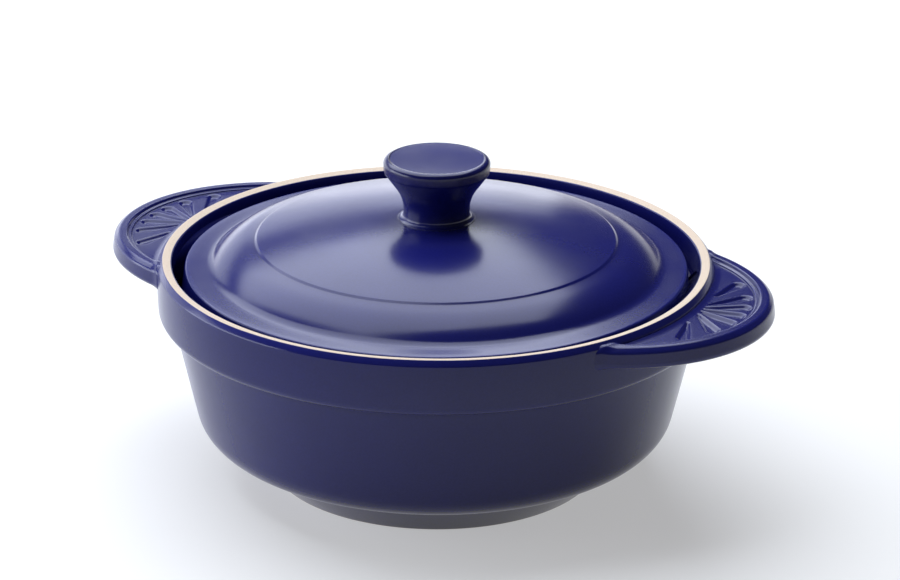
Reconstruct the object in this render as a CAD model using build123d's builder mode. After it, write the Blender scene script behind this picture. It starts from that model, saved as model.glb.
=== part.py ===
from build123d import *
from math import cos, radians, sin, sqrt
import os

# A lidded clay cooking pot for about two and a half litres.
# Millimetres, +Z up. The origin is the centre of the face it rests on, and the handles lie on X.

# Bowl, outside: the bare rim, the collar band, the tapered wall and the foot
rim_radius = 118.0
rim_height = 96.8
rim_width = 4.0
rim_fall = 0.9
rim_edge_round = 0.6
collar_shoulder_out = 1.9
collar_shoulder = 2.4
collar_shoulder_round = 1.6
collar_crown = 0.6
collar_crown_round = 120.0
collar_depth = 24.4
collar_low_round = 4.1
collar_overhang = 5.8
undercut_round = 1.8
wall_taper = 12.3
wall_low_rise = 1.0
wall_low_round = 15.5
underside_width = 13.7
underside_round = 1.2
foot_height = 16.6
foot_taper = 16.3
foot_edge_round = 1.2
foot_ring_width = 8.0
foot_recess = 2.6

# Bowl, inside: the seat for the lid and a hollow with a wall of even thickness
seat_depth = 14.8
seat_width = 7.7
seat_wall_lean = 0.7
seat_lip_round = 1.6
seat_corner_round = 2.2
wall = 6.4
floor = 7.0
hollow_low_round = 9.5
hollow_step_round = 8.0
hollow_floor_round = 9.0

# Handles: a clay lug on each side, with a bead round a sunken field
handle_reach = 31.8
handle_length = 78.2
handle_half_width = 69.5
handle_top_drop = 2.2
handle_thickness = 8.7
handle_top_round = 4.1
handle_low_round = 2.8
bead_width = 7.6
bead_depth = 1.0
bead_inner_round = 0.5
field_margin = 1.3
field_depth = 0.7

# Sunk flutes that fan out from the pot over each handle's field, wider towards the bead
flute_count = 7
flute_fan_angle = 75.0
flute_fan_sink = 2.0
flute_start_gap = 2.4
flute_root_radius = 0.8
flute_tip_radius = 2.3
flute_end_gap = 2.0
flute_depth = 0.9
flute_draft_angle = 20.0

# Lid: a hollow shell that rises in a soft wave and a fine step to a shallow dome
lid_play = 3.1
lid_wall = 6.0
lid_side_lean = 1.8
lid_edge_drop = 2.9
lid_edge_round = 1.7
lid_foot_width = 6.6
lid_foot_round = 1.0
lid_skirt_lean = 1.2
lid_corner_round = 2.4
band_width = 11.2
valley_drop = 2.3
valley_round = 6.0
flank_width = 9.6
shoulder_rise = 5.6
shoulder_round = 26.0
shoulder_width = 10.0
step_rise = 8.5
step_height = 1.4
step_lean = 0.4
step_edge_round = 0.6
dome_rise = 17.3
hollow_shift = 2.5
hollow_round = 12.0

# Knob: a trumpet with a rolled rim and a slightly dished top
knob_height = 26.8
knob_radius = 23.1
knob_rim_lean = 0.3
knob_rim_round = 2.0
knob_rim_width = 2.7
knob_dish = 1.2
knob_flare_height = 21.2
knob_flare_round = 1.7
knob_neck_radius = 14.3
knob_neck_height = 9.6
knob_neck_round = 16.4
knob_foot_width = 2.3
knob_foot_lip = 0.4
knob_foot_round = 2.2

# Radii and heights that follow from the sizes above
collar_radius = rim_radius + collar_shoulder_out
wall_top_radius = collar_radius - collar_overhang
wall_low_radius = wall_top_radius - wall_taper
underside_radius = wall_low_radius - underside_width
foot_radius = underside_radius - foot_taper
rim_inner_radius = rim_radius - rim_width
seat_outer_radius = rim_inner_radius - seat_wall_lean
seat_inner_radius = seat_outer_radius - seat_width
lid_foot_radius = seat_outer_radius - lid_play
lid_edge_radius = lid_foot_radius - lid_side_lean
valley_radius = lid_edge_radius - band_width
shoulder_radius = valley_radius - flank_width
step_radius = shoulder_radius - shoulder_width
knob_foot_radius = knob_neck_radius + knob_foot_width
seat_height = rim_height - seat_depth
collar_low = rim_height - collar_depth
knob_seat_height = rim_height + dome_rise
step_edge_height = rim_height + step_rise

os.makedirs("parts", exist_ok=True)

# The collar's outline from the rim down, which the bowl shows and the handles are cut to
collar_line = [
    (rim_radius, rim_height),
    (collar_radius, rim_height - collar_shoulder),
    (collar_radius + collar_crown, (rim_height + collar_low) / 2),
    (collar_radius, collar_low),
]
collar_rounds = [rim_edge_round, collar_shoulder_round, collar_crown_round, collar_low_round]

# The bowl's outline from the middle of the hollow over the rim to the middle of the foot
hollow_floor_height = foot_recess + floor
hollow_step_height = foot_height + wall
hollow_step_radius = underside_radius - wall * (sqrt(2) - 1)
hollow_floor_radius = hollow_step_radius - (hollow_step_height - hollow_floor_height)
foot_inner_radius = foot_radius - foot_ring_width
bowl_line = [
    (0, hollow_floor_height),
    (hollow_floor_radius, hollow_floor_height),
    (hollow_step_radius, hollow_step_height),
    (wall_low_radius - wall, hollow_step_height),
    (seat_inner_radius, seat_height),
    (seat_outer_radius, seat_height),
    (rim_inner_radius, rim_height - rim_fall),
] + collar_line + [
    (wall_top_radius, collar_low),
    (wall_low_radius, foot_height + wall_low_rise),
    (underside_radius, foot_height),
    (foot_radius, 0),
    (foot_inner_radius, 0),
    (foot_inner_radius - foot_recess, foot_recess),
    (0, foot_recess),
]
bowl_rounds = [
    hollow_floor_round,
    hollow_step_round,
    hollow_low_round,
    seat_lip_round,
    seat_corner_round,
    rim_edge_round,
] + collar_rounds + [
    undercut_round,
    wall_low_round,
    underside_round,
    foot_edge_round,
    foot_edge_round,
    foot_edge_round,
]

# Bowl: the section turned about Z
with BuildPart() as bowl:
    with BuildSketch(Plane.XZ):
        with BuildLine():
            FilletPolyline(bowl_line, radius=bowl_rounds)
            Line(bowl_line[-1], bowl_line[0])
        make_face()
    revolve(axis=Axis.Z)
bowl.part.label = "bowl"
export_step(bowl.part, "parts/bowl.step")

# Handle: half of an oval slab, cut to the collar, with its field and flutes sunk from above
handle_centre = collar_radius + handle_reach - handle_length
handle_top = rim_height - handle_top_drop
bead_floor = handle_top - bead_depth
field_floor = bead_floor - field_depth
field_inset = bead_width + field_margin
fan_root = collar_radius - flute_fan_sink
fan_offset = fan_root - handle_centre
flute_start_radius = collar_radius + collar_crown + flute_start_gap + flute_root_radius
flute_inset = field_inset + flute_end_gap + flute_tip_radius
flute_end_length = handle_length - flute_inset
flute_end_half_width = handle_half_width - flute_inset
with BuildPart() as handle_right:
    with BuildSketch(Plane.XY.offset(handle_top)):
        with Locations((handle_centre, 0)):
            Ellipse(handle_length, handle_half_width)
    extrude(amount=-handle_thickness)
    fillet(handle_right.edges().sort_by(Axis.Z)[-1], radius=handle_top_round)
    fillet(handle_right.edges().sort_by(Axis.Z)[0], radius=handle_low_round)
    with BuildSketch(Plane.XY.offset(handle_top)):
        with Locations((handle_centre, 0)):
            Ellipse(handle_length - bead_width, handle_half_width - bead_width)
    extrude(amount=-bead_depth, mode=Mode.SUBTRACT)
    fillet(handle_right.edges().filter_by(GeomType.ELLIPSE).sort_by(Axis.Z)[-1], radius=bead_inner_round)
    with BuildSketch(Plane.XY.offset(bead_floor)):
        with Locations((handle_centre, 0)):
            Ellipse(handle_length - field_inset, handle_half_width - field_inset)
    extrude(amount=-field_depth, mode=Mode.SUBTRACT)
    for index in range(flute_count):
        angle = radians(flute_fan_angle * (2 * index / (flute_count - 1) - 1))
        across = fan_root * sin(angle)
        start = sqrt(flute_start_radius ** 2 - across ** 2) - fan_root * cos(angle)
        # The tip stands on an oval inside the field, which a line from the fan's root meets once
        square = (cos(angle) / flute_end_length) ** 2 + (sin(angle) / flute_end_half_width) ** 2
        middle = fan_offset * cos(angle) / flute_end_length ** 2
        end = (sqrt(middle ** 2 + square * (1 - (fan_offset / flute_end_length) ** 2)) - middle) / square
        flute_plane = Plane(origin=(fan_root, 0, field_floor), x_dir=(cos(angle), sin(angle), 0))
        with BuildSketch(flute_plane):
            with Locations((start, 0)):
                Circle(flute_root_radius)
            with Locations((end, 0)):
                Circle(flute_tip_radius)
            make_hull()
        extrude(amount=-flute_depth, taper=flute_draft_angle, mode=Mode.SUBTRACT)
    with BuildSketch(Plane.XZ):
        with BuildLine():
            collar_top_line = [(0, rim_height)] + collar_line + [(0, collar_low)]
            FilletPolyline(collar_top_line, radius=collar_rounds)
            Line(collar_top_line[-1], collar_top_line[0])
        make_face()
    revolve(axis=Axis.Z, mode=Mode.SUBTRACT)
handle_right.part.label = "handle_right"
export_step(handle_right.part, "parts/handle_right.step")

with BuildPart() as handle_left:
    mirror(handle_right.part, about=Plane.YZ)
handle_left.part.label = "handle_left"
export_step(handle_left.part, "parts/handle_left.step")

# Lid: the outline from the dome's edge down the wave, round the skirt and back under the dome
lid_inner_radius = lid_foot_radius - lid_foot_width
lid_line = [
    (step_radius, step_edge_height),
    (step_radius + step_lean, step_edge_height - step_height),
    (shoulder_radius, rim_height + shoulder_rise),
    (valley_radius, rim_height - valley_drop),
    (lid_edge_radius, rim_height - lid_edge_drop),
    (lid_foot_radius, seat_height),
    (lid_inner_radius, seat_height),
    (lid_inner_radius - lid_skirt_lean, rim_height - lid_edge_drop - lid_wall),
    (valley_radius - hollow_shift, rim_height - valley_drop - lid_wall),
    (shoulder_radius - hollow_shift, rim_height + shoulder_rise - lid_wall),
    (step_radius - hollow_shift, step_edge_height - lid_wall),
]
lid_rounds = [
    step_edge_round,
    shoulder_round,
    valley_round,
    lid_edge_round,
    lid_foot_round,
    lid_foot_round,
    lid_corner_round,
    valley_round,
    hollow_round,
]


def ball_radius(inner_radius, outer_radius, fall):
    # The radius of a ball centred on Z that falls this much between two radii
    centre_drop = (outer_radius ** 2 - inner_radius ** 2 - fall ** 2) / (2 * fall)
    return sqrt(inner_radius ** 2 + (centre_drop + fall) ** 2)


hollow_top = knob_seat_height - lid_wall
dome_radius = ball_radius(knob_foot_radius, step_radius, dome_rise - step_rise)
hollow_dome_radius = ball_radius(0, lid_line[-1][0], hollow_top - lid_line[-1][1])
with BuildPart() as lid:
    with BuildSketch(Plane.XZ) as lid_section:
        with BuildLine():
            Line((0, knob_seat_height), (knob_foot_radius, knob_seat_height))
            RadiusArc((knob_foot_radius, knob_seat_height), lid_line[0], dome_radius)
            FilletPolyline(lid_line, radius=lid_rounds)
            RadiusArc(lid_line[-1], (0, hollow_top), -hollow_dome_radius)
            Line((0, hollow_top), (0, knob_seat_height))
        make_face()
        dome_edge = lid_section.vertices().sort_by_distance(lid_line[0])[0]
        fillet(dome_edge, radius=step_edge_round)
    revolve(axis=Axis.Z)
lid.part.label = "lid"
export_step(lid.part, "parts/lid.step")

# Knob: stands on the flat land in the middle of the dome
knob_line = [
    (0, knob_seat_height),
    (knob_foot_radius, knob_seat_height),
    (knob_foot_radius, knob_seat_height + knob_foot_lip),
    (knob_neck_radius, knob_seat_height + knob_foot_lip),
    (knob_neck_radius, knob_seat_height + knob_neck_height),
    (knob_radius - knob_rim_lean, knob_seat_height + knob_flare_height),
    (knob_radius, knob_seat_height + knob_height),
    (knob_radius - knob_rim_width, knob_seat_height + knob_height),
]
knob_rounds = [0, 0, knob_foot_round, knob_neck_round, knob_flare_round, knob_rim_round]
dish_floor = knob_seat_height + knob_height - knob_dish
dish_radius = ball_radius(0, knob_radius - knob_rim_width, knob_dish)
with BuildPart() as knob:
    with BuildSketch(Plane.XZ):
        with BuildLine():
            FilletPolyline(knob_line, radius=knob_rounds)
            RadiusArc(knob_line[-1], (0, dish_floor), dish_radius)
            Line((0, dish_floor), knob_line[0])
        make_face()
    revolve(axis=Axis.Z)
knob.part.label = "knob"
export_step(knob.part, "parts/knob.step")

print("pieces", [piece.part.label for piece in (bowl, handle_left, handle_right, lid, knob)])
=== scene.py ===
import math

import bmesh
import bpy
from mathutils import Euler, Matrix, Vector


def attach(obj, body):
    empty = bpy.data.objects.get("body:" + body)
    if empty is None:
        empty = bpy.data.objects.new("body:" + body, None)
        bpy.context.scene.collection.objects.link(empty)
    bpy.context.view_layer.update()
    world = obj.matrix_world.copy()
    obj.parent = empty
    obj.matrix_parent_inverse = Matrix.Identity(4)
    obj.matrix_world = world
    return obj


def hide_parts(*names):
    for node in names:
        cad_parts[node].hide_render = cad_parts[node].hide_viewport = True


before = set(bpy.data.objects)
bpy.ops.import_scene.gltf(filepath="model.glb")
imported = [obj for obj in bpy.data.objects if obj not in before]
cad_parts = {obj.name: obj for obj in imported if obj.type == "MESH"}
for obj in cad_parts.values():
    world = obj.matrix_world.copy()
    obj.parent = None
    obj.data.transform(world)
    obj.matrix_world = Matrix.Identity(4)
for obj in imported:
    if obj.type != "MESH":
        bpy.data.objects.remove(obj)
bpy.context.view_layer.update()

mm = 0.001
samePoint = 1e-4          # mm: points of a section closer than this are one
straightCorner = 1e-3     # rad: a corner flatter than this isn't rounded
bendWindow = 1.6          # mm of section on each side over which its bend is measured
fullBend = 1.2            # rad: the bend that counts as 1 in the "relief" attribute
farFromClay = -9.0        # mm: the "bare" attribute where no bare clay is near
colourA, colourB, colourOut = 6, 7, 2   # a Mix node's colour sockets, which share their names with others
floatA, floatB = 2, 3                   # and its number sockets
print("frame loaded:", ", ".join(sorted(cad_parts)))


def linear(code):
    # an sRGB hex colour as the linear values that shaders work in
    channels = [int(code[i:i + 2], 16) / 255 for i in (1, 3, 5)]
    return tuple(c / 12.92 if c <= 0.04045 else ((c + 0.055) / 1.055) ** 2.4 for c in channels) + (1,)


def addNode(tree, kind, settings={}, inputs={}):
    # adds a node, sets its options, then sets or links its inputs; a node as input means its first output
    node = tree.nodes.new(kind)
    for name, value in settings.items():
        setattr(node, name, value)
    for name, value in inputs.items():
        source = value.outputs[0] if isinstance(value, bpy.types.Node) else value
        if isinstance(source, bpy.types.NodeSocket):
            tree.links.new(source, node.inputs[name])
        else:
            node.inputs[name].default_value = source
    return node


# camera, from the ellipses of the pot's rim, lid and foot in the photograph
cameraSettings = {
    "lens": 130.17,           # mm on a 36 mm sensor
    "farClip": 20,            # m
    "distance": 1314 * mm,    # level distance from the pot's axis
    "height": 596.3 * mm,
    "azimuth": -65.2,         # degrees from +X, so the right handle comes forward
    "pitch": 21.43,
    "yaw": -0.265,
    "roll": 0.511,
}
cameraData = bpy.data.cameras.new("camera")
cameraData.lens = cameraSettings["lens"]
cameraData.clip_end = cameraSettings["farClip"]
camera = bpy.data.objects.new("camera", cameraData)
bpy.context.scene.collection.objects.link(camera)
cameraTurn = math.radians(cameraSettings["azimuth"])
camera.location = (cameraSettings["distance"] * math.cos(cameraTurn),
                   cameraSettings["distance"] * math.sin(cameraTurn), cameraSettings["height"])
aim = Euler((math.radians(90 - cameraSettings["pitch"]), 0,
             cameraTurn + math.pi / 2 + math.radians(cameraSettings["yaw"]))).to_matrix()
camera.rotation_euler = (aim @ Matrix.Rotation(math.radians(cameraSettings["roll"]), 3, "Z")).to_euler()
bpy.context.scene.camera = camera
bpy.context.scene.view_settings.view_transform = "Standard"


# sections of the pieces are lists of corners, (radius or inset, height, rounding) in mm; their bare zones run
# from one (radius, height) to another
def roundedLine(corners, longest=3.0, turn=7.0, fewest=3):
    # rounds each corner with an arc and divides the straight runs
    points = [Vector(corners[0][:2])]
    for before, here, after in zip(corners, corners[1:], corners[2:]):
        corner = Vector(here[:2])
        back, on = (Vector(before[:2]) - corner).normalized(), (Vector(after[:2]) - corner).normalized()
        opening = back.angle(on)
        if here[2] == 0 or math.pi - opening < straightCorner:
            points.append(corner)
            continue
        reach = here[2] / math.tan(opening / 2)
        centre = corner + (back + on).normalized() * here[2] / math.sin(opening / 2)
        start, end = corner + back * reach - centre, corner + on * reach - centre
        steps = max(fewest, math.ceil(math.degrees(math.pi - opening) / turn))
        sweep = start.angle_signed(end)
        for step in range(steps + 1):
            points.append(centre + Matrix.Rotation(-sweep * step / steps, 2) @ start)
    points.append(Vector(corners[-1][:2]))
    line = [points[0]]
    for point in points[1:]:
        start, gap = line[-1], (point - line[-1]).length
        if gap < samePoint:
            continue
        parts = math.ceil(gap / longest)
        line += [start.lerp(point, part / parts) for part in range(1, parts + 1)]
    return line


def ballArc(inner, outer, steps):
    # corners along a ball centred on the pot's axis, from one (radius, height) to another
    drop = inner[1] - outer[1]
    sink = (outer[0] ** 2 - inner[0] ** 2 - drop ** 2) / (2 * drop)
    ball = math.hypot(inner[0], sink + drop)
    centre = outer[1] - sink
    radii = [inner[0] + (outer[0] - inner[0]) * step / steps for step in range(steps + 1)]
    return [(radius, centre + math.sqrt(ball ** 2 - radius ** 2), 0) for radius in radii]


def bendShare(before, here, after):
    # how the surface bends: 1 on a sharp edge, 0 on the flat, -1 in a sharp hollow
    if min((here - before).length, (after - here).length) < samePoint:
        return 0.0
    return max(-1.0, min(1.0, (here - before).angle_signed(after - here) / fullBend))


def profileObject(name, line, bareZones):
    # the section as a string of vertices; each knows how far inside bare clay it is and how the surface bends
    mesh = bpy.data.meshes.new(name)
    mesh.from_pydata([(point.x * mm, 0, point.y * mm) for point in line],
                     [(i, i + 1) for i in range(len(line) - 1)], [])
    lengths = [0]
    for one, other in zip(line, line[1:]):
        lengths.append(lengths[-1] + (other - one).length)
    zones = []
    for ends in bareZones:
        nearest = [min(range(len(line)), key=lambda k: (line[k] - Vector(end)).length) for end in ends]
        zones.append(sorted(lengths[k] for k in nearest))
    bare = [max([farFromClay] + [min(at - first, last - at) for first, last in zones]) for at in lengths]
    relief = []
    for i, point in enumerate(line):
        near = [k for k in range(len(line)) if 0 < abs(lengths[k] - lengths[i]) <= bendWindow]
        behind = [k for k in near if k < i] or [max(i - 1, 0)]
        ahead = [k for k in near if k > i] or [min(i + 1, len(line) - 1)]
        relief.append(bendShare(line[behind[0]], point, line[ahead[-1]]))
    for title, values in (("bare", bare), ("relief", relief)):
        attribute = mesh.attributes.new(title, "FLOAT", "POINT")
        attribute.data.foreach_set("value", values)
    holder = bpy.data.objects.new(name, mesh)
    bpy.context.scene.collection.objects.link(holder)
    return holder


def nodeGroup(name, values):
    # a geometry tree with a named input for each value
    kinds = {int: "NodeSocketInt", float: "NodeSocketFloat", bpy.types.Material: "NodeSocketMaterial"}
    tree = bpy.data.node_groups.new(name, "GeometryNodeTree")
    tree.interface.new_socket("Geometry", in_out="INPUT", socket_type="NodeSocketGeometry")
    tree.interface.new_socket("Geometry", in_out="OUTPUT", socket_type="NodeSocketGeometry")
    for title, value in values.items():
        tree.interface.new_socket(title, in_out="INPUT", socket_type=kinds[type(value)])
    return tree


def closeTree(tree, shaped, clay):
    # smooth shading, real geometry and the fired clay end every tree
    smooth = addNode(tree, "GeometryNodeSetShadeSmooth", {}, {"Geometry": shaped})
    real = addNode(tree, "GeometryNodeRealizeInstances", {}, {"Geometry": smooth})
    fired = addNode(tree, "GeometryNodeSetMaterial", {}, {"Geometry": real, "Material": clay})
    addNode(tree, "NodeGroupOutput", {}, {"Geometry": fired})


def grow(source, tree, values, name):
    # runs a tree on an object and keeps the result as a plain mesh that faces outwards
    modifier = source.modifiers.new(tree.name, "NODES")
    modifier.node_group = tree
    for item in tree.interface.items_tree:
        if item.in_out == "INPUT" and item.name in values:
            modifier[item.identifier] = values[item.name]
    bpy.context.view_layer.update()
    evaluated = source.evaluated_get(bpy.context.evaluated_depsgraph_get())
    mesh = bpy.data.meshes.new_from_object(evaluated)
    mesh.name = name
    source.modifiers.remove(modifier)
    bpy.data.objects.remove(source)
    work = bmesh.new()
    work.from_mesh(mesh)
    sliver = 0.0005 * mm
    bmesh.ops.dissolve_degenerate(work, edges=work.edges, dist=sliver)
    bmesh.ops.recalc_face_normals(work, faces=work.faces)
    if work.calc_volume(signed=True) < 0:
        bmesh.ops.reverse_faces(work, faces=work.faces)
    openEdges = sum(not edge.is_manifold for edge in work.edges)
    work.to_mesh(mesh)
    work.free()
    piece = bpy.data.objects.new(name, mesh)
    bpy.context.scene.collection.objects.link(piece)
    print(f"{name}: {len(mesh.polygons)} faces, {openEdges} open edges")
    return piece


# stoneware under a cobalt glaze: the glaze is glass, deep blue, nearly smooth, paler where it runs thin over
# an edge; bare clay is matt and cream, with a fine grain
glazeSettings = {
    "body": "#171a64", "pool": "#0f114c", "thin": "#242a78", "ior": 1.42,
    "clay": "#dccab7", "clayDark": "#c4ab8f", "clayRoughness": 0.86,
    # noises, each with the size of a wave in mm and its detail
    "noises": {
        "swell": (28, 2.0),       # the slow swell that brush and kiln leave
        "peel": (2.6, 1.5),       # the slight orange peel of the fired glaze
        "speck": (0.9, 2.0),      # specks and grain are drawn about a pixel wide, coarser than real
        "grain": (0.5, 3.0),
        "stray": (40.0, 3.0),     # the glaze line's straying
    },
    "pooled": {"From Min": 0.0, "From Max": -0.6},                 # relief to share of the pooled colour
    "thinned": {"From Min": 0.15, "From Max": 0.8, "To Max": 0.6},   # relief to share of the thin colour
    "drift": {"From Min": 0.3, "From Max": 0.7, "To Max": 0.3},    # swell to share of the pooled colour
    "gloss": {"From Min": 0.3, "From Max": 0.7, "To Min": 0.17, "To Max": 0.22},      # swell to roughness
    "specks": {"From Min": 0.25, "From Max": 0.75, "To Min": 0.88, "To Max": 1.12},   # speck to tone
    "clayMix": {"From Min": 0.45, "From Max": 0.75, "To Max": 0.7},   # grain to share of the dark clay
    "strayed": {"From Min": 0.25, "From Max": 0.75, "To Min": -0.2, "To Max": 0.2},   # stray to mm
    "glazeEnd": {"From Min": -0.12, "From Max": 0.12},             # mm inside the glaze line to share of clay
    "swellHeight": 0.05, "peelHeight": 0.0015, "grainHeight": 0.03,   # mm
}


def glazedClay(name, settings):
    material = bpy.data.materials.new(name)
    material.use_nodes = True
    tree = material.node_tree
    tree.nodes.clear()
    spot = addNode(tree, "ShaderNodeTexCoord").outputs["Object"]
    relief = addNode(tree, "ShaderNodeAttribute", {"attribute_name": "relief"}).outputs["Fac"]
    bare = addNode(tree, "ShaderNodeAttribute", {"attribute_name": "bare"}).outputs["Fac"]
    noise = {}
    for part, (size, detail) in settings["noises"].items():
        noise[part] = addNode(tree, "ShaderNodeTexNoise", {},
                              {"Vector": spot, "Scale": 1 / (size * mm), "Detail": detail}).outputs["Fac"]
    # glaze colour: pooled in hollows, thin on edges, with a faint drift over the whole
    pooled = addNode(tree, "ShaderNodeMapRange", {}, {"Value": relief, **settings["pooled"]})
    thinned = addNode(tree, "ShaderNodeMapRange", {}, {"Value": relief, **settings["thinned"]})
    drift = addNode(tree, "ShaderNodeMapRange", {}, {"Value": noise["swell"], **settings["drift"]})
    poolShare = addNode(tree, "ShaderNodeMath", {"operation": "MAXIMUM"}, {0: pooled, 1: drift})
    deep = addNode(tree, "ShaderNodeMix", {"data_type": "RGBA"},
                   {"Factor": poolShare, colourA: linear(settings["body"]),
                    colourB: linear(settings["pool"])}).outputs[colourOut]
    specks = addNode(tree, "ShaderNodeMapRange", {}, {"Value": noise["speck"], **settings["specks"]})
    toned = addNode(tree, "ShaderNodeVectorMath", {"operation": "SCALE"}, {0: deep, "Scale": specks})
    glazeColour = addNode(tree, "ShaderNodeMix", {"data_type": "RGBA"},
                          {"Factor": thinned, colourA: toned,
                           colourB: linear(settings["thin"])}).outputs[colourOut]
    # bare clay: darker between its grains
    clayMix = addNode(tree, "ShaderNodeMapRange", {}, {"Value": noise["grain"], **settings["clayMix"]})
    clayColour = addNode(tree, "ShaderNodeMix", {"data_type": "RGBA"},
                         {"Factor": clayMix, colourA: linear(settings["clay"]),
                          colourB: linear(settings["clayDark"])}).outputs[colourOut]
    # the glaze line strays a little
    strayed = addNode(tree, "ShaderNodeMapRange", {}, {"Value": noise["stray"], **settings["strayed"]})
    edge = addNode(tree, "ShaderNodeMath", {"operation": "ADD"}, {0: bare, 1: strayed})
    clayShare = addNode(tree, "ShaderNodeMapRange", {"interpolation_type": "SMOOTHSTEP"},
                        {"Value": edge, **settings["glazeEnd"]})
    colour = addNode(tree, "ShaderNodeMix", {"data_type": "RGBA"},
                     {"Factor": clayShare, colourA: glazeColour, colourB: clayColour}).outputs[colourOut]
    gloss = addNode(tree, "ShaderNodeMapRange", {}, {"Value": noise["swell"], **settings["gloss"]})
    roughness = addNode(tree, "ShaderNodeMix", {"data_type": "FLOAT"},
                        {"Factor": clayShare, floatA: gloss, floatB: settings["clayRoughness"]})
    # bumps, each on top of the last: the glaze's swell, its peel, then the grain of the bare clay
    clayGrain = addNode(tree, "ShaderNodeMath", {"operation": "MULTIPLY"}, {0: noise["grain"], 1: clayShare})
    bumps = [(noise["swell"], "swellHeight"), (noise["peel"], "peelHeight"), (clayGrain, "grainHeight")]
    below = {}
    for height, rise in bumps:
        bump = addNode(tree, "ShaderNodeBump", {},
                       {"Height": height, "Distance": settings[rise] * mm, "Strength": 1.0, **below})
        below = {"Normal": bump}
    surface = addNode(tree, "ShaderNodeBsdfPrincipled", {},
                      {"Base Color": colour, "Roughness": roughness, "IOR": settings["ior"], **below})
    addNode(tree, "ShaderNodeOutputMaterial", {}, {"Surface": surface})
    return material


cobaltGlaze = glazedClay("cobaltGlazedStoneware", glazeSettings)
print("glaze ready")

# the wheel: its wobble is calm at the axis and at the foot, so that poles stay closed and the pot stands flat
wheelSettings = {
    "Segments": 288, "Wobble": 0.3 * mm, "Wobble Waves": 14.0, "Calm Radius": 12 * mm, "Calm Height": 6 * mm,
    "Weld": 0.002 * mm, "Seed": 1, "Seed Step": 7.31, "Clay": cobaltGlaze,
}


def wheelTree(values):
    # turns a section round the pot's axis, with the slight wobble of thrown clay
    tree = nodeGroup("turnedOnWheel", values)
    given = addNode(tree, "NodeGroupInput").outputs
    sectionSize = addNode(tree, "GeometryNodeAttributeDomainSize", {"component": "MESH"},
                          {"Geometry": given["Geometry"]}).outputs["Point Count"]
    # a grid: one column for each step of the turn, one row for each point of the section
    columns = addNode(tree, "ShaderNodeMath", {"operation": "ADD"}, {0: given["Segments"], 1: 1.0})
    grid = addNode(tree, "GeometryNodeMeshGrid", {}, {"Vertices X": columns, "Vertices Y": sectionSize})
    index = addNode(tree, "GeometryNodeInputIndex")
    alongSection = addNode(tree, "ShaderNodeMath", {"operation": "MODULO"}, {0: index, 1: sectionSize})
    turnShare = addNode(tree, "ShaderNodeMath", {"operation": "DIVIDE"}, {0: index, 1: sectionSize})
    turnIndex = addNode(tree, "ShaderNodeMath", {"operation": "FLOOR"}, {0: turnShare})
    turnPart = addNode(tree, "ShaderNodeMath", {"operation": "DIVIDE"}, {0: turnIndex, 1: given["Segments"]})
    turnAngle = addNode(tree, "ShaderNodeMath", {"operation": "MULTIPLY"}, {0: turnPart, 1: 2 * math.pi})
    place = addNode(tree, "GeometryNodeInputPosition")
    sectionPlace = addNode(tree, "GeometryNodeSampleIndex", {"data_type": "FLOAT_VECTOR"},
                           {"Geometry": given["Geometry"], "Value": place, "Index": alongSection})
    turned = addNode(tree, "ShaderNodeVectorRotate", {"rotation_type": "Z_AXIS"},
                     {"Vector": sectionPlace, "Angle": turnAngle})
    # the wobble: noise round zero, in three directions
    seedShift = addNode(tree, "ShaderNodeMath", {"operation": "MULTIPLY"},
                        {0: given["Seed"], 1: given["Seed Step"]})
    wobble = addNode(tree, "ShaderNodeTexNoise", {"noise_dimensions": "4D"},
                     {"Vector": turned, "W": seedShift, "Scale": given["Wobble Waves"], "Detail": 1.0})
    centred = addNode(tree, "ShaderNodeVectorMath", {"operation": "SUBTRACT"},
                      {0: wobble.outputs["Color"], 1: (0.5, 0.5, 0.5)})
    sized = addNode(tree, "ShaderNodeVectorMath", {"operation": "SCALE"},
                    {0: centred, "Scale": given["Wobble"]})
    level = addNode(tree, "ShaderNodeVectorMath", {"operation": "MULTIPLY"}, {0: turned, 1: (1, 1, 0)})
    radius = addNode(tree, "ShaderNodeVectorMath", {"operation": "LENGTH"}, {0: level}).outputs["Value"]
    height = addNode(tree, "ShaderNodeSeparateXYZ", {}, {"Vector": turned}).outputs["Z"]
    calmAxis = addNode(tree, "ShaderNodeMapRange", {}, {"Value": radius, "From Max": given["Calm Radius"]})
    calmFoot = addNode(tree, "ShaderNodeMapRange", {}, {"Value": height, "From Max": given["Calm Height"]})
    calm = addNode(tree, "ShaderNodeMath", {"operation": "MULTIPLY"}, {0: calmAxis, 1: calmFoot})
    calmed = addNode(tree, "ShaderNodeVectorMath", {"operation": "SCALE"}, {0: sized, "Scale": calm})
    wobbled = addNode(tree, "ShaderNodeVectorMath", {"operation": "ADD"}, {0: turned, 1: calmed})
    shaped = addNode(tree, "GeometryNodeSetPosition", {}, {"Geometry": grid, "Position": wobbled})
    for title in ("bare", "relief"):
        named = addNode(tree, "GeometryNodeInputNamedAttribute", {"data_type": "FLOAT"}, {"Name": title})
        sampled = addNode(tree, "GeometryNodeSampleIndex", {"data_type": "FLOAT"},
                          {"Geometry": given["Geometry"], "Value": named, "Index": alongSection})
        shaped = addNode(tree, "GeometryNodeStoreNamedAttribute", {"data_type": "FLOAT", "domain": "POINT"},
                         {"Geometry": shaped, "Name": title, "Value": sampled})
    joined = addNode(tree, "GeometryNodeMergeByDistance", {}, {"Geometry": shaped, "Distance": given["Weld"]})
    closeTree(tree, joined, given["Clay"])
    return tree


wheel = wheelTree(wheelSettings)

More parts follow.
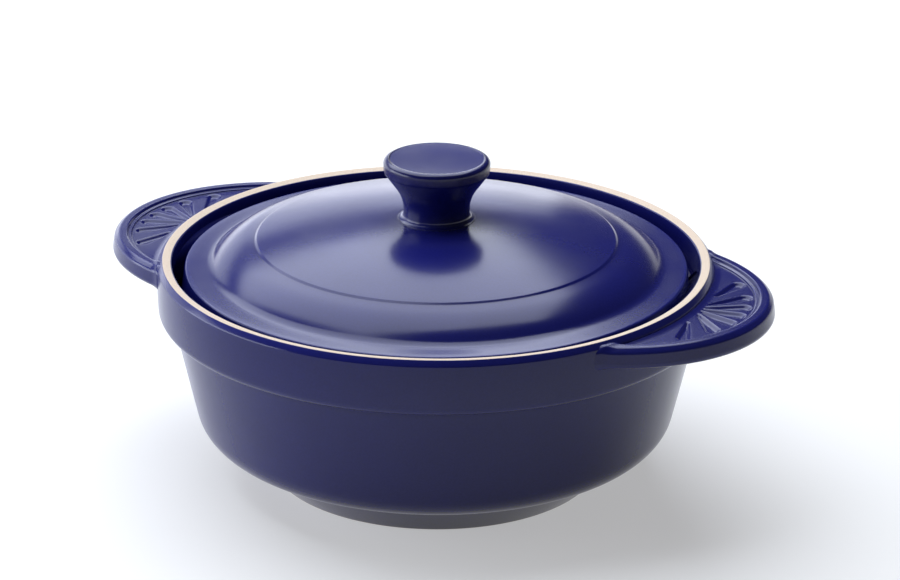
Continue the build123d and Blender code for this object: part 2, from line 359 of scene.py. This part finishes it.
# bowl: from the middle of the hollow, over the seat and rim, down the collar, wall and foot
bowlSettings = {
    "corners": [
        (0, 9.6, 0), (72.05, 9.6, 9), (85.45, 23, 8), (95.4, 23, 9.5), (105.6, 82, 1.6), (113.3, 82, 2.2),
        (114, 95.9, 0.6), (118, 96.8, 0.6), (119.9, 94.4, 1.6), (120.5, 84.6, 120), (119.9, 72.4, 4.1),
        (114.1, 72.4, 1.8), (101.8, 17.6, 15.5), (88.1, 16.6, 1.2), (71.8, 0, 1.2), (63.8, 0, 1.2),
        (61.2, 2.6, 1.2), (0, 2.6, 0)],
    "bareZones": [((114.8, 95.9), (118.0, 96.6)), ((72.9, 1.2), (62.8, 1.0))],   # rim land and foot ring
    "wheel": {"Seed": 3},
}
bowlLine = roundedLine(bowlSettings["corners"])
bowl = grow(profileObject("bowlSection", bowlLine, bowlSettings["bareZones"]), wheel,
            {**wheelSettings, **bowlSettings["wheel"]}, "bowl_shell")

# lid: from the middle of the dome over the fine step and the wave, round the skirt, back under the dome
lidSettings = {
    "crown": (16.6, 114.1), "domeEdge": (77.3, 105.35), "domeEdgeRound": 0.6, "domeSteps": 20,
    "corners": [
        (78.3, 104.56, 1.2), (89.5, 102.0, 29.5), (97.2, 94.5, 6), (108.4, 93.9, 1.1), (110.2, 82, 1),
        (103.6, 82, 1), (102.4, 87.9, 2.4), (94.7, 88.5, 6), (85.1, 96.4, 12)],
    "hollowEdge": (75.1, 99.3), "hollowTop": (0, 108.1), "hollowSteps": 24,
    "bareZones": [((110.0, 83.4), (103.4, 83.0))],   # standing edge of the skirt
    "wheel": {"Seed": 8},
}
dome = ballArc(lidSettings["crown"], lidSettings["domeEdge"], lidSettings["domeSteps"])
hollow = ballArc(lidSettings["hollowTop"], lidSettings["hollowEdge"], lidSettings["hollowSteps"])
lidCorners = [(0, lidSettings["crown"][1], 0)] + dome[:-1]
lidCorners += [(*lidSettings["domeEdge"], lidSettings["domeEdgeRound"])]
lidCorners += lidSettings["corners"] + hollow[::-1]
lid = grow(profileObject("lidSection", roundedLine(lidCorners), lidSettings["bareZones"]), wheel,
           {**wheelSettings, **lidSettings["wheel"]}, "lid_shell")

# knob: a trumpet luted to the middle of the dome, with a shallow dish in its top
knobSettings = {
    "foot": 114.1,   # mm: the height of the dome's middle, which the corners start from
    "corners": [
        (0, 0, 0), (16.8, 0, 0), (16.45, 0.14, 0.2), (14.3, 0.25, 2.1), (14.3, 9.6, 16.4), (22.8, 21.2, 1.7),
        (23.1, 26.8, 2.2)],
    "dishRadii": (20.8, 18, 15.5, 13, 10.5, 8, 5.5, 3, 0), "dishHeight": 26.8, "dishFall": 0.4,
    "longest": 1.2, "turn": 6,   # finer than the bowl and lid
    "wheel": {"Segments": 144, "Wobble": 0.15 * mm, "Seed": 5},
}
dishRadius = knobSettings["dishRadii"][0]
dish = [(radius, knobSettings["dishHeight"] - knobSettings["dishFall"] * (1 - (radius / dishRadius) ** 2), 0)
        for radius in knobSettings["dishRadii"]]
knobCorners = [(radius, height + knobSettings["foot"], rounding)
               for radius, height, rounding in knobSettings["corners"] + dish]
knobLine = roundedLine(knobCorners, knobSettings["longest"], knobSettings["turn"])
knob = grow(profileObject("knobSection", knobLine, []), wheel,
            {**wheelSettings, **knobSettings["wheel"]}, "knob_trumpet")
print("turned pieces ready")

# lug handles: rings that follow the oval outline inwards over the edge, bead and ledge to the sunken field
lugSettings = {
    "centre": 73.5, "reach": 78.2, "halfWidth": 69.5,   # mm: the oval, its centre measured from the axis
    "rootRadius": 118.0,      # where the lug ends, inside the collar's wall
    "collarRadius": 120.1,
    "edge": [
        (33.7, 85.9, 0), (0, 85.9, 2.4), (1.2, 93.1, 2.2), (3.3, 94.85, 1.9), (6.6, 94.9, 0.8),
        (7.3, 93.7, 0.4), (8.6, 93.55, 0.35), (8.9, 92.9, 0.4), (33.7, 92.9, 0)],
    "longest": 0.4, "turn": 9,
    "columns": 300,
    "lastRing": 0.05,         # mm short of the root, where the rings stop
    "plugDepth": 0.2,         # mm behind the root, where the field's and the underside's flats end
    "bendRings": 3,           # rings on each side over which the bend is measured
    "halvings": 40,           # of the angle, to find where a ring meets the root
    "filletReach": 3.0, "filletRise": 0.8,   # the glaze that gathers where the lug meets the collar
}


def ringPoint(settings, inset, angle):
    # a point of the oval this far inside the outline: out from the pot's axis, and across
    return (settings["centre"] + (settings["reach"] - inset) * math.cos(angle),
            (settings["halfWidth"] - inset) * math.sin(angle))


def fullTurn(settings, inset):
    # the angle at which a ring meets the lug's root inside the collar
    low, high = 0.0, math.pi / 2
    for _ in range(settings["halvings"]):
        middle = (low + high) / 2
        outside = math.hypot(*ringPoint(settings, inset, middle)) > settings["rootRadius"]
        low, high = (middle, high) if outside else (low, middle)
    return low


def lugObject(settings, side, name):
    # one lug without its flutes, closed behind its root
    apex = settings["centre"] + settings["reach"] - settings["rootRadius"]
    section = [point for point in roundedLine(settings["edge"], settings["longest"], settings["turn"])
               if point.x < apex - settings["lastRing"]]
    last, apart = len(section) - 1, settings["bendRings"]
    work = bmesh.new()
    bareLayer = work.verts.layers.float.new("bare")
    reliefLayer = work.verts.layers.float.new("relief")
    rings = []
    for i, point in enumerate(section):
        along = (section[min(i + 1, last)] - section[max(i - 1, 0)]).normalized()
        outward = Vector((along.y, -along.x))
        relief = bendShare(section[max(i - apart, 0)], point, section[min(i + apart, last)])
        turn = fullTurn(settings, point.x)
        ring = []
        for column in range(settings["columns"] + 1):
            angle = turn * (2 * column / settings["columns"] - 1)
            gap = math.hypot(*ringPoint(settings, point.x, angle)) - settings["collarRadius"]
            near = min(1.0, max(0.0, 1 - gap / settings["filletReach"]))
            lift = settings["filletRise"] * near ** 2
            out, across = ringPoint(settings, point.x - outward.x * lift, angle)
            vertex = work.verts.new((side * out * mm, across * mm, (point.y - outward.y * lift) * mm))
            vertex[bareLayer] = farFromClay
            vertex[reliefLayer] = relief
            ring.append(vertex)
        rings.append(ring)
    for one, other in zip(rings, rings[1:]):
        for k in range(settings["columns"]):
            work.faces.new((one[k], one[k + 1], other[k + 1], other[k]))
    for ring, point in ((rings[0], section[0]), (rings[-1], section[-1])):
        plug = work.verts.new((side * (settings["rootRadius"] - settings["plugDepth"]) * mm, 0, point.y * mm))
        plug[bareLayer] = farFromClay
        for k in range(settings["columns"]):
            work.faces.new((ring[k], ring[k + 1], plug))
    cutEnd = [edge for edge in work.edges if edge.is_boundary]
    bmesh.ops.triangle_fill(work, use_beauty=True, use_dissolve=False, edges=cutEnd, normal=(1, 0, 0))
    bmesh.ops.recalc_face_normals(work, faces=work.faces)
    mesh = bpy.data.meshes.new(name)
    work.to_mesh(mesh)
    work.free()
    holder = bpy.data.objects.new(name, mesh)
    bpy.context.scene.collection.objects.link(holder)
    return holder


# a fan of sunk flutes, pressed into the field of each lug: each starts by the collar and ends wider, by the
# ledge
fluteSettings = {
    "Flutes": 7, "Fan Angle": math.radians(75), "Fan Root": 117.9 * mm, "Start Radius": 123.7 * mm,
    "Oval Centre": 73.5 * mm, "Oval Length": 65.0 * mm, "Oval Half Width": 56.3 * mm, "Line Points": 24,
    "Root Radius": 0.9 * mm, "Tip Radius": 3.1 * mm, "Depth": 1.2 * mm, "Lip": 0.6 * mm, "Slope": 1.8 * mm,
    "Field Height": 92.9 * mm, "Field Margin": 0.3 * mm, "Side": 1.0, "Clay": cobaltGlaze,
}
# where each flute lies, as rows of name, operation and terms: numbers, inputs of the tree or earlier rows
fluteSums = [
    ("lastFlute", "SUBTRACT", "Flutes", 1.0),
    ("share", "DIVIDE", "index", "lastFlute"),
    ("spread", "MULTIPLY_ADD", "share", 2.0, -1.0),
    ("angle", "MULTIPLY", "spread", "Fan Angle"),
    ("sine", "SINE", "angle"),
    ("cosine", "COSINE", "angle"),
    # start: the distance from the fan's root to the start circle round the pot's axis
    ("across", "MULTIPLY", "Fan Root", "sine"),
    ("acrossSquare", "MULTIPLY", "across", "across"),
    ("startSquare", "MULTIPLY", "Start Radius", "Start Radius"),
    ("startSpan", "SUBTRACT", "startSquare", "acrossSquare"),
    ("startOut", "SQRT", "startSpan"),
    ("rootOut", "MULTIPLY", "Fan Root", "cosine"),
    ("fluteStart", "SUBTRACT", "startOut", "rootOut"),
    # end: the distance to an oval inside the ledge, from the quadratic of a line that meets it
    ("offset", "SUBTRACT", "Fan Root", "Oval Centre"),
    ("cosineShare", "DIVIDE", "cosine", "Oval Length"),
    ("sineShare", "DIVIDE", "sine", "Oval Half Width"),
    ("offsetShare", "DIVIDE", "offset", "Oval Length"),
    ("sineSquare", "MULTIPLY", "sineShare", "sineShare"),
    ("square", "MULTIPLY_ADD", "cosineShare", "cosineShare", "sineSquare"),
    ("middle", "MULTIPLY", "offsetShare", "cosineShare"),
    ("offsetSquare", "MULTIPLY", "offsetShare", "offsetShare"),
    ("inside", "SUBTRACT", 1.0, "offsetSquare"),
    ("insideSquare", "MULTIPLY", "square", "inside"),
    ("underRoot", "MULTIPLY_ADD", "middle", "middle", "insideSquare"),
    ("root", "SQRT", "underRoot"),
    ("endTop", "SUBTRACT", "root", "middle"),
    ("fluteEnd", "DIVIDE", "endTop", "square"),
    ("fluteLength", "SUBTRACT", "fluteEnd", "fluteStart"),
    ("startX", "MULTIPLY_ADD", "fluteStart", "cosine", "Fan Root"),
    ("startY", "MULTIPLY", "fluteStart", "sine"),
]


def fanTree(values, sums):
    # presses the flutes into the field of a lug
    tree = nodeGroup("fanOfFlutes", values)
    given = addNode(tree, "NodeGroupInput").outputs
    known = dict(given.items())
    known["index"] = addNode(tree, "GeometryNodeInputIndex")
    for name, operation, *terms in sums:
        known[name] = addNode(tree, "ShaderNodeMath", {"operation": operation},
                              {slot: known.get(term, term) for slot, term in enumerate(terms)})
    # one line for the bottom of each flute
    startPlace = addNode(tree, "ShaderNodeCombineXYZ", {},
                         {"X": known["startX"], "Y": known["startY"], "Z": given["Field Height"]})
    starts = addNode(tree, "GeometryNodePoints", {}, {"Count": given["Flutes"], "Position": startPlace})
    turn = addNode(tree, "ShaderNodeCombineXYZ", {}, {"Z": known["angle"]})
    stretch = addNode(tree, "ShaderNodeCombineXYZ", {}, {"X": known["fluteLength"], "Y": 1.0, "Z": 1.0})
    unitLine = addNode(tree, "GeometryNodeCurvePrimitiveLine", {}, {"End": (1, 0, 0)})
    finerLine = addNode(tree, "GeometryNodeResampleCurve", {},
                        {"Curve": unitLine, "Count": given["Line Points"]})
    lines = addNode(tree, "GeometryNodeInstanceOnPoints", {},
                    {"Points": starts, "Instance": finerLine, "Rotation": turn, "Scale": stretch})
    for title in ("fluteStart", "fluteLength"):
        lines = addNode(tree, "GeometryNodeStoreNamedAttribute", {"data_type": "FLOAT", "domain": "INSTANCE"},
                        {"Geometry": lines, "Name": title, "Value": known[title]})
    realLines = addNode(tree, "GeometryNodeRealizeInstances", {}, {"Geometry": lines})
    lineMesh = addNode(tree, "GeometryNodeCurveToMesh", {}, {"Curve": realLines})
    # each vertex of the lug looks for its nearest flute, on the field's own level and on the right-hand side
    place = addNode(tree, "GeometryNodeInputPosition")
    sideVector = addNode(tree, "ShaderNodeCombineXYZ", {}, {"X": given["Side"], "Y": 1.0, "Z": 0.0})
    levelled = addNode(tree, "ShaderNodeVectorMath", {"operation": "MULTIPLY"}, {0: place, 1: sideVector})
    fieldLevel = addNode(tree, "ShaderNodeCombineXYZ", {}, {"Z": given["Field Height"]})
    onField = addNode(tree, "ShaderNodeVectorMath", {"operation": "ADD"}, {0: levelled, 1: fieldLevel})
    nearest = addNode(tree, "GeometryNodeProximity", {"target_element": "EDGES"},
                      {"Geometry": lineMesh, "Sample Position": onField}).outputs
    nearestPoint = addNode(tree, "GeometryNodeSampleNearest", {"domain": "POINT"},
                           {"Geometry": lineMesh, "Sample Position": onField})
    near = {}
    for title in ("fluteStart", "fluteLength"):
        named = addNode(tree, "GeometryNodeInputNamedAttribute", {"data_type": "FLOAT"}, {"Name": title})
        near[title] = addNode(tree, "GeometryNodeSampleIndex", {"data_type": "FLOAT"},
                              {"Geometry": lineMesh, "Value": named, "Index": nearestPoint})
    # the flute widens from its root to its tip, and its wall slopes down to the full depth
    rootPlace = addNode(tree, "ShaderNodeCombineXYZ", {},
                        {"X": given["Fan Root"], "Z": given["Field Height"]})
    fromRoot = addNode(tree, "ShaderNodeVectorMath", {"operation": "DISTANCE"},
                       {0: nearest["Position"], 1: rootPlace}).outputs["Value"]
    alongFlute = addNode(tree, "ShaderNodeMath", {"operation": "SUBTRACT"},
                         {0: fromRoot, 1: near["fluteStart"]})
    alongShare = addNode(tree, "ShaderNodeMath", {"operation": "DIVIDE"},
                         {0: alongFlute, 1: near["fluteLength"]})
    fluteRadius = addNode(tree, "ShaderNodeMapRange", {},
                          {"Value": alongShare, "To Min": given["Root Radius"],
                           "To Max": given["Tip Radius"]})
    overEdge = addNode(tree, "ShaderNodeMath", {"operation": "SUBTRACT"},
                       {0: nearest["Distance"], 1: fluteRadius})
    innerWall = addNode(tree, "ShaderNodeMath", {"operation": "MULTIPLY"}, {0: given["Slope"], 1: -1.0})
    sinkShare = addNode(tree, "ShaderNodeMapRange", {"interpolation_type": "SMOOTHERSTEP"},
                        {"Value": overEdge, "From Min": innerWall, "From Max": given["Lip"],
                         "To Min": 1.0, "To Max": 0.0})
    # only the top of the lug sinks, not its underside
    height = addNode(tree, "ShaderNodeSeparateXYZ", {}, {"Vector": place}).outputs["Z"]
    fieldFloor = addNode(tree, "ShaderNodeMath", {"operation": "SUBTRACT"},
                         {0: given["Field Height"], 1: given["Field Margin"]})
    onTop = addNode(tree, "ShaderNodeMath", {"operation": "GREATER_THAN"}, {0: height, 1: fieldFloor})
    sinkDepth = addNode(tree, "ShaderNodeMath", {"operation": "MULTIPLY"}, {0: sinkShare, 1: given["Depth"]})
    sinkHere = addNode(tree, "ShaderNodeMath", {"operation": "MULTIPLY"}, {0: sinkDepth, 1: onTop})
    sinkDown = addNode(tree, "ShaderNodeMath", {"operation": "MULTIPLY"}, {0: sinkHere, 1: -1.0})
    sinkVector = addNode(tree, "ShaderNodeCombineXYZ", {}, {"Z": sinkDown})
    pressed = addNode(tree, "GeometryNodeSetPosition", {},
                      {"Geometry": given["Geometry"], "Offset": sinkVector})
    closeTree(tree, pressed, given["Clay"])
    return tree


fan = fanTree(fluteSettings, fluteSums)
lugs = {}
for side, name in ((1, "handle_right"), (-1, "handle_left")):
    lugs[name] = grow(lugObject(lugSettings, side, name + "_blank"), fan,
                      {**fluteSettings, "Side": float(side)}, name + "_lug")
print("lugs ready")

for piece, node, body, slot in (
        (bowl, "bowl", "pot", "bowl_glaze"), (lugs["handle_left"], "handle_left", "pot", "handle_glaze"),
        (lugs["handle_right"], "handle_right", "pot", "handle_glaze"),
        (lid, "lid", "lid", "lid_glaze"), (knob, "knob", "lid", "knob_glaze")):
    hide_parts(node)
    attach(piece, body)

# studio: white seamless paper that curls up far away, softboxes high and low behind the pot and low to its
# left, and a dim room
studioSettings = {
    "paper": "#c2c2c2",
    "paperReach": 9.0, "paperCurl": 1.2,   # m: how far the paper lies flat, and how high its end curls up
    "paperWeld": 1e-5, "curlSteps": 9, "paperColumns": 72,
    # m from the pot to strength: the paper glows more where little lamp light reaches it
    "glow": {"From Min": 0.6, "From Max": 1.5, "To Min": 0.42, "To Max": 0.93},
    "roomLight": 0.05,
    "lampColour": "#eff5ff", "lampAim": 60 * mm,   # the lamps point at this height over the floor
    "lamps": [   # name, azimuth from +X and elevation in degrees, distance, width and height in m, watts
        ("backSoftbox", 141, 63, 1.4, 1.8, 1.85, 43),
        ("backLowSoftbox", 148, 10, 1.4, 2.4, 0.5, 6),
        ("leftLowSoftbox", 207, 13, 1.4, 1.3, 0.6, 12)],
}


def seamlessPaper(settings):
    # matt paper that also glows, for the eye and for reflections only: it looks white and sheds no more light
    material = bpy.data.materials.new("seamlessPaper")
    material.use_nodes = True
    tree = material.node_tree
    tree.nodes.clear()
    matt = addNode(tree, "ShaderNodeBsdfDiffuse", {}, {"Color": linear(settings["paper"])})
    spot = addNode(tree, "ShaderNodeTexCoord").outputs["Object"]
    away = addNode(tree, "ShaderNodeVectorMath", {"operation": "LENGTH"}, {0: spot}).outputs["Value"]
    fade = addNode(tree, "ShaderNodeMapRange", {"interpolation_type": "SMOOTHSTEP"},
                   {"Value": away, **settings["glow"]})
    ray = addNode(tree, "ShaderNodeLightPath").outputs
    seen = addNode(tree, "ShaderNodeMath", {"operation": "MAXIMUM"},
                   {0: ray["Is Camera Ray"], 1: ray["Is Glossy Ray"]})
    seenAll = addNode(tree, "ShaderNodeMath", {"operation": "MAXIMUM"},
                      {0: seen, 1: ray["Is Transmission Ray"]})
    glow = addNode(tree, "ShaderNodeMath", {"operation": "MULTIPLY"}, {0: seenAll, 1: fade})
    white = addNode(tree, "ShaderNodeEmission", {}, {"Strength": glow})
    both = addNode(tree, "ShaderNodeAddShader", {}, {0: matt, 1: white})
    addNode(tree, "ShaderNodeOutputMaterial", {}, {"Surface": both})
    return material


def layPaper(settings):
    # the profile of the paper, flat and then a quarter round, spun into a wide shallow dish
    reach, curl, steps = settings["paperReach"], settings["paperCurl"], settings["curlSteps"]
    bends = [math.radians(90 * step / steps) for step in range(1, steps + 1)]
    profile = [(0, 0), (reach, 0)]
    profile += [(reach + curl * math.sin(bend), curl * (1 - math.cos(bend))) for bend in bends]
    work = bmesh.new()
    edge = [work.verts.new((x, 0, z)) for x, z in profile]
    for one, other in zip(edge, edge[1:]):
        work.edges.new((one, other))
    bmesh.ops.spin(work, geom=work.verts[:] + work.edges[:], axis=(0, 0, 1), cent=(0, 0, 0), dvec=(0, 0, 0),
                   angle=2 * math.pi, steps=settings["paperColumns"], use_duplicate=False)
    bmesh.ops.remove_doubles(work, verts=work.verts, dist=settings["paperWeld"])
    bmesh.ops.recalc_face_normals(work, faces=work.faces)
    mesh = bpy.data.meshes.new("floor")
    work.to_mesh(mesh)
    work.free()
    mesh.polygons.foreach_set("use_smooth", [True] * len(mesh.polygons))
    mesh.materials.append(seamlessPaper(settings))
    sheet = bpy.data.objects.new("floor", mesh)
    bpy.context.scene.collection.objects.link(sheet)
    return sheet


floor = layPaper(studioSettings)

for name, azimuth, elevation, distance, width, tall, watts in studioSettings["lamps"]:
    lampData = bpy.data.lights.new(name, "AREA")
    lampData.shape, lampData.size, lampData.size_y, lampData.energy = "RECTANGLE", width, tall, watts
    lampData.color = linear(studioSettings["lampColour"])[:3]
    lamp = bpy.data.objects.new(name, lampData)
    turn, rise = math.radians(azimuth), math.radians(elevation)
    away = Vector((math.cos(turn) * math.cos(rise), math.sin(turn) * math.cos(rise), math.sin(rise)))
    lamp.location = Vector((0, 0, studioSettings["lampAim"])) + away * distance
    lamp.rotation_euler = away.to_track_quat("Z", "Y").to_euler()
    lamp.visible_camera = False
    bpy.context.scene.collection.objects.link(lamp)

world = bpy.data.worlds.new("studio")
bpy.context.scene.world = world
world.use_nodes = True
background = world.node_tree.nodes["Background"]
background.inputs["Color"].default_value = (1, 1, 1, 1)
background.inputs["Strength"].default_value = studioSettings["roomLight"]
print("studio ready")
